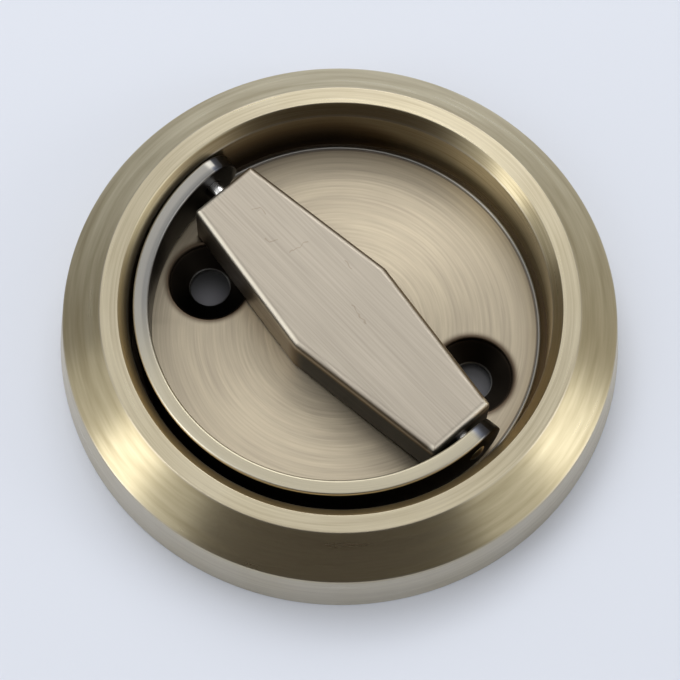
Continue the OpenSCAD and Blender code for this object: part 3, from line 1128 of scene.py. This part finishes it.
# %% Turn bar
BUSH_ROOM_R = 6.4
STEM_SHOULDER = 6.4
RECESS_TURN_STEPS = 64

recess_profile = [
    (0, BAR_LOW - CUT_MARGIN), (BUSH_ROOM_R, BAR_LOW - CUT_MARGIN),
    (BUSH_ROOM_R, STEM_SHOULDER), (0, STEM_SHOULDER)]
recess = turned_mesh("recess", recess_profile, bar_brass, RECESS_TURN_STEPS)
bar_mesh = cut_away(bar_block, "bar", bar_brass, [recess])
place_piece("bar", bar_mesh, "turn", "bar_brass", "turn_bar")

# %% [markdown]
# ## The half ring
# The half ring is a thin band bent round the cup, with a full round end about each pin. It is made as a
# row of cross sections along the bend. Past the pin the section gets shorter as the round end asks, so
# the edge keeps its small radius all the way round. A cylinder cut through both ends makes the pin holes.
# Its broad sides are painted nearly black, as painted shade, and the outer corners of its narrow edges
# are worn pale. Both ends are darker and greyer, and the round tips are painted darker still, as painted
# shade.

# %% Sections along the band
RING_R = 27.0
RING_T = 2.1
RING_MID_R = RING_R - RING_T / 2
RING_HALF_H = 4.23
RING_EDGE = 0.4
RING_EDGE_STEPS = 4
RING_STEPS = 120
END_STEPS = 28
LEAST_HALF = 0.02
EDGE_LIMIT = 0.9


def ring_stations():
    """(angle in degrees, half height) along the band, from one round end to the other."""
    ends = []
    for k in range(END_STEPS + 1):
        tilt = math.radians(90 * k / END_STEPS)
        past = RING_HALF_H * math.sin(tilt)
        half = max(RING_HALF_H * math.cos(tilt), LEAST_HALF)
        ends.append((math.degrees(math.asin(past / RING_MID_R)), half))
    left = [(180 - angle, half) for angle, half in reversed(ends)]
    middle = [(180 + 180 * k / RING_STEPS, RING_HALF_H) for k in range(1, RING_STEPS)]
    right = [(360 + angle, half) for angle, half in ends]
    return left + middle + right


def ring_section(half):
    """Rounded section of the band as (outward, upward) points from its middle."""
    edge = min(RING_EDGE, half * EDGE_LIMIT)
    w = RING_T / 2
    corners = [(w, half, edge), (-w, half, edge), (-w, -half, edge), (w, -half, edge)]
    return rounded(corners, RING_EDGE_STEPS)[:-1]


print(len(ring_stations()), "sections of", len(ring_section(RING_HALF_H)), "points")

# %% Bent band
PIN_Z = 7.53
RING_SLIDE = 0.6


def ring_rows():
    rows = []
    for angle, half in ring_stations():
        c, s = math.cos(math.radians(angle)), math.sin(math.radians(angle))
        rows.append([
            ((RING_MID_R + out) * c - RING_SLIDE, (RING_MID_R + out) * s, PIN_Z + up)
            for out, up in ring_section(half)])
    return rows


ring_band = skin("ring", ring_rows())
print("band:", len(ring_band.vertices), "points")

# %% Half ring marks
RING_WEAR = 0.35
RING_EDGE_BAND = (RING_HALF_H - 0.1, 0.14)
RING_FADES = {
    "broad side": (RING_HALF_H - 0.25, RING_HALF_H - 0.7, 0.0, 0.98),
    "left end": (-2.0, -20.0, 0.0, 0.40),
    "right end": (22.0, 27.5, 0.0, 0.18),
    "tips": (-0.8, 1.8, 0.0, 0.8),
    "outer": (RING_R - 1.0, RING_R - 0.5),
}


def ring_marks(tree):
    at = place_on(tree)
    step = fades_from(tree, RING_FADES)
    lifted = maths(tree, "ABSOLUTE", maths(tree, "SUBTRACT", at.z, PIN_Z * MM))
    edge = band(tree, lifted, *RING_EDGE_BAND)
    # Painted shade: the broad sides nearly black and the round tips darker; both ends are also darker.
    shade = most(
        tree, step("broad side", lifted), step("left end", at.x), step("right end", at.x),
        step("tips", at.y))
    return {"Shade": shade, "WearAndHighlight": times(tree, edge, step("outer", at.radius), RING_WEAR)}


ring_brass = brass_material(
    "ring_brass", TURNED_GRAIN, ring_marks, smooth=0.3,
    tones={"Bright": (0.58, 0.525, 0.39), "Dull": (0.44, 0.40, 0.30),
           "Brown": (0.12, 0.13, 0.158)},
    Lines_per_metre=7000.0, Around=1.6, Contrast=1.6)
print("half ring marks:", list(RING_FADES))

# %% Half ring
HOLE_R = 1.3
HOLE_REACH = 40
PIN_TURN_STEPS = 48


def lay_along_bar(mesh, side):
    """Lays a mesh turned about the upright axis along the pins, toward one end of the bar."""
    tip = Matrix.Rotation(side * math.pi / 2, 4, "Y")
    mesh.transform(Matrix.Translation((0, 0, PIN_Z * MM)) @ tip)


hole_profile = [(0, -HOLE_REACH), (HOLE_R, -HOLE_REACH), (HOLE_R, HOLE_REACH), (0, HOLE_REACH)]
pin_hole = turned_mesh("pin_hole", hole_profile, ring_brass, PIN_TURN_STEPS)
lay_along_bar(pin_hole, 1)
ring_mesh = cut_away(ring_band, "half_ring", ring_brass, [pin_hole])
place_piece("half_ring", ring_mesh, "ring", "ring_brass", "pull_ring")

# %% [markdown]
# ## Steel: pins and the works behind the floor
# The pins are ground steel with a slightly domed end, turned by the same lathe tree and then laid along
# the bar. The stem, its screw and its washers show only from behind, so their CAD solids stay and get a
# machined finish.

# %% Steel finishes
STEEL_LINES_PER_METRE = 6000.0
STEEL_ROUGHER = 0.1


def steel_material(name, colour, dark, roughness, grain_group=TURNED_GRAIN, bump=0.2):
    material, tree, shader = new_material(name)
    grain = add_node(
        tree, "ShaderNodeGroup", {"node_tree": grain_group},
        Lines_per_metre=STEEL_LINES_PER_METRE).outputs["Grain"]
    rough = ramp_between(tree, grain, 0.0, 1.0, roughness + STEEL_ROUGHER, roughness)
    relief = add_node(
        tree, "ShaderNodeBump", Strength=bump, Distance=GRAIN_DEPTH, Height=grain)
    wire(tree, shader, Metallic=1.0, Base_Color=blend_colour(tree, grain, dark, colour),
         Roughness=rough, Normal=relief.outputs["Normal"])
    return material


pin_steel = steel_material(
    "pin_steel", (0.90, 0.90, 0.89), (0.76, 0.76, 0.75), 0.14, DRAWN_GRAIN, 0.05)
stem_steel = steel_material("stem_steel", (0.60, 0.60, 0.58), (0.40, 0.40, 0.39), 0.3)
spring_steel = steel_material("spring_steel", (0.30, 0.31, 0.32), (0.16, 0.165, 0.17), 0.35)
bush_bronze = steel_material("bush_bronze", (0.62, 0.45, 0.22), (0.42, 0.30, 0.14), 0.3)
print("finishes:", [m.name for m in (pin_steel, stem_steel, spring_steel, bush_bronze)])

# %% Works behind the floor
WORKS = {
    "turn_stem": stem_steel, "stem_screw": stem_steel, "backing_washer": stem_steel,
    "circlip": spring_steel, "dish_washer": spring_steel, "thrust_washer": bush_bronze,
    "stem_bush": bush_bronze}
for node_name, finish in WORKS.items():
    for material_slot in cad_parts[node_name].material_slots:
        material_slot.material = finish
print("works painted:", len(WORKS))

# %% Pivot pins
PIN_R = 1.25
PIN_ROOT = 15.35
PIN_END = 26.7
PIN_DOME = 0.4

dome = arc(0, PIN_END - PIN_DOME, PIN_R, PIN_DOME, range(0, 90, 15))
pin_profile = [(0, PIN_ROOT), (PIN_R, PIN_ROOT), *dome, (0, PIN_END)]
for pin_name, node_name, side in (
        ("pin_left", "pivot_pin_left", -1), ("pin_right", "pivot_pin_right", 1)):
    pin_mesh = turned_mesh(pin_name, pin_profile, pin_steel, PIN_TURN_STEPS)
    lay_along_bar(pin_mesh, side)
    place_piece(pin_name, pin_mesh, "turn", "pin_steel", node_name)
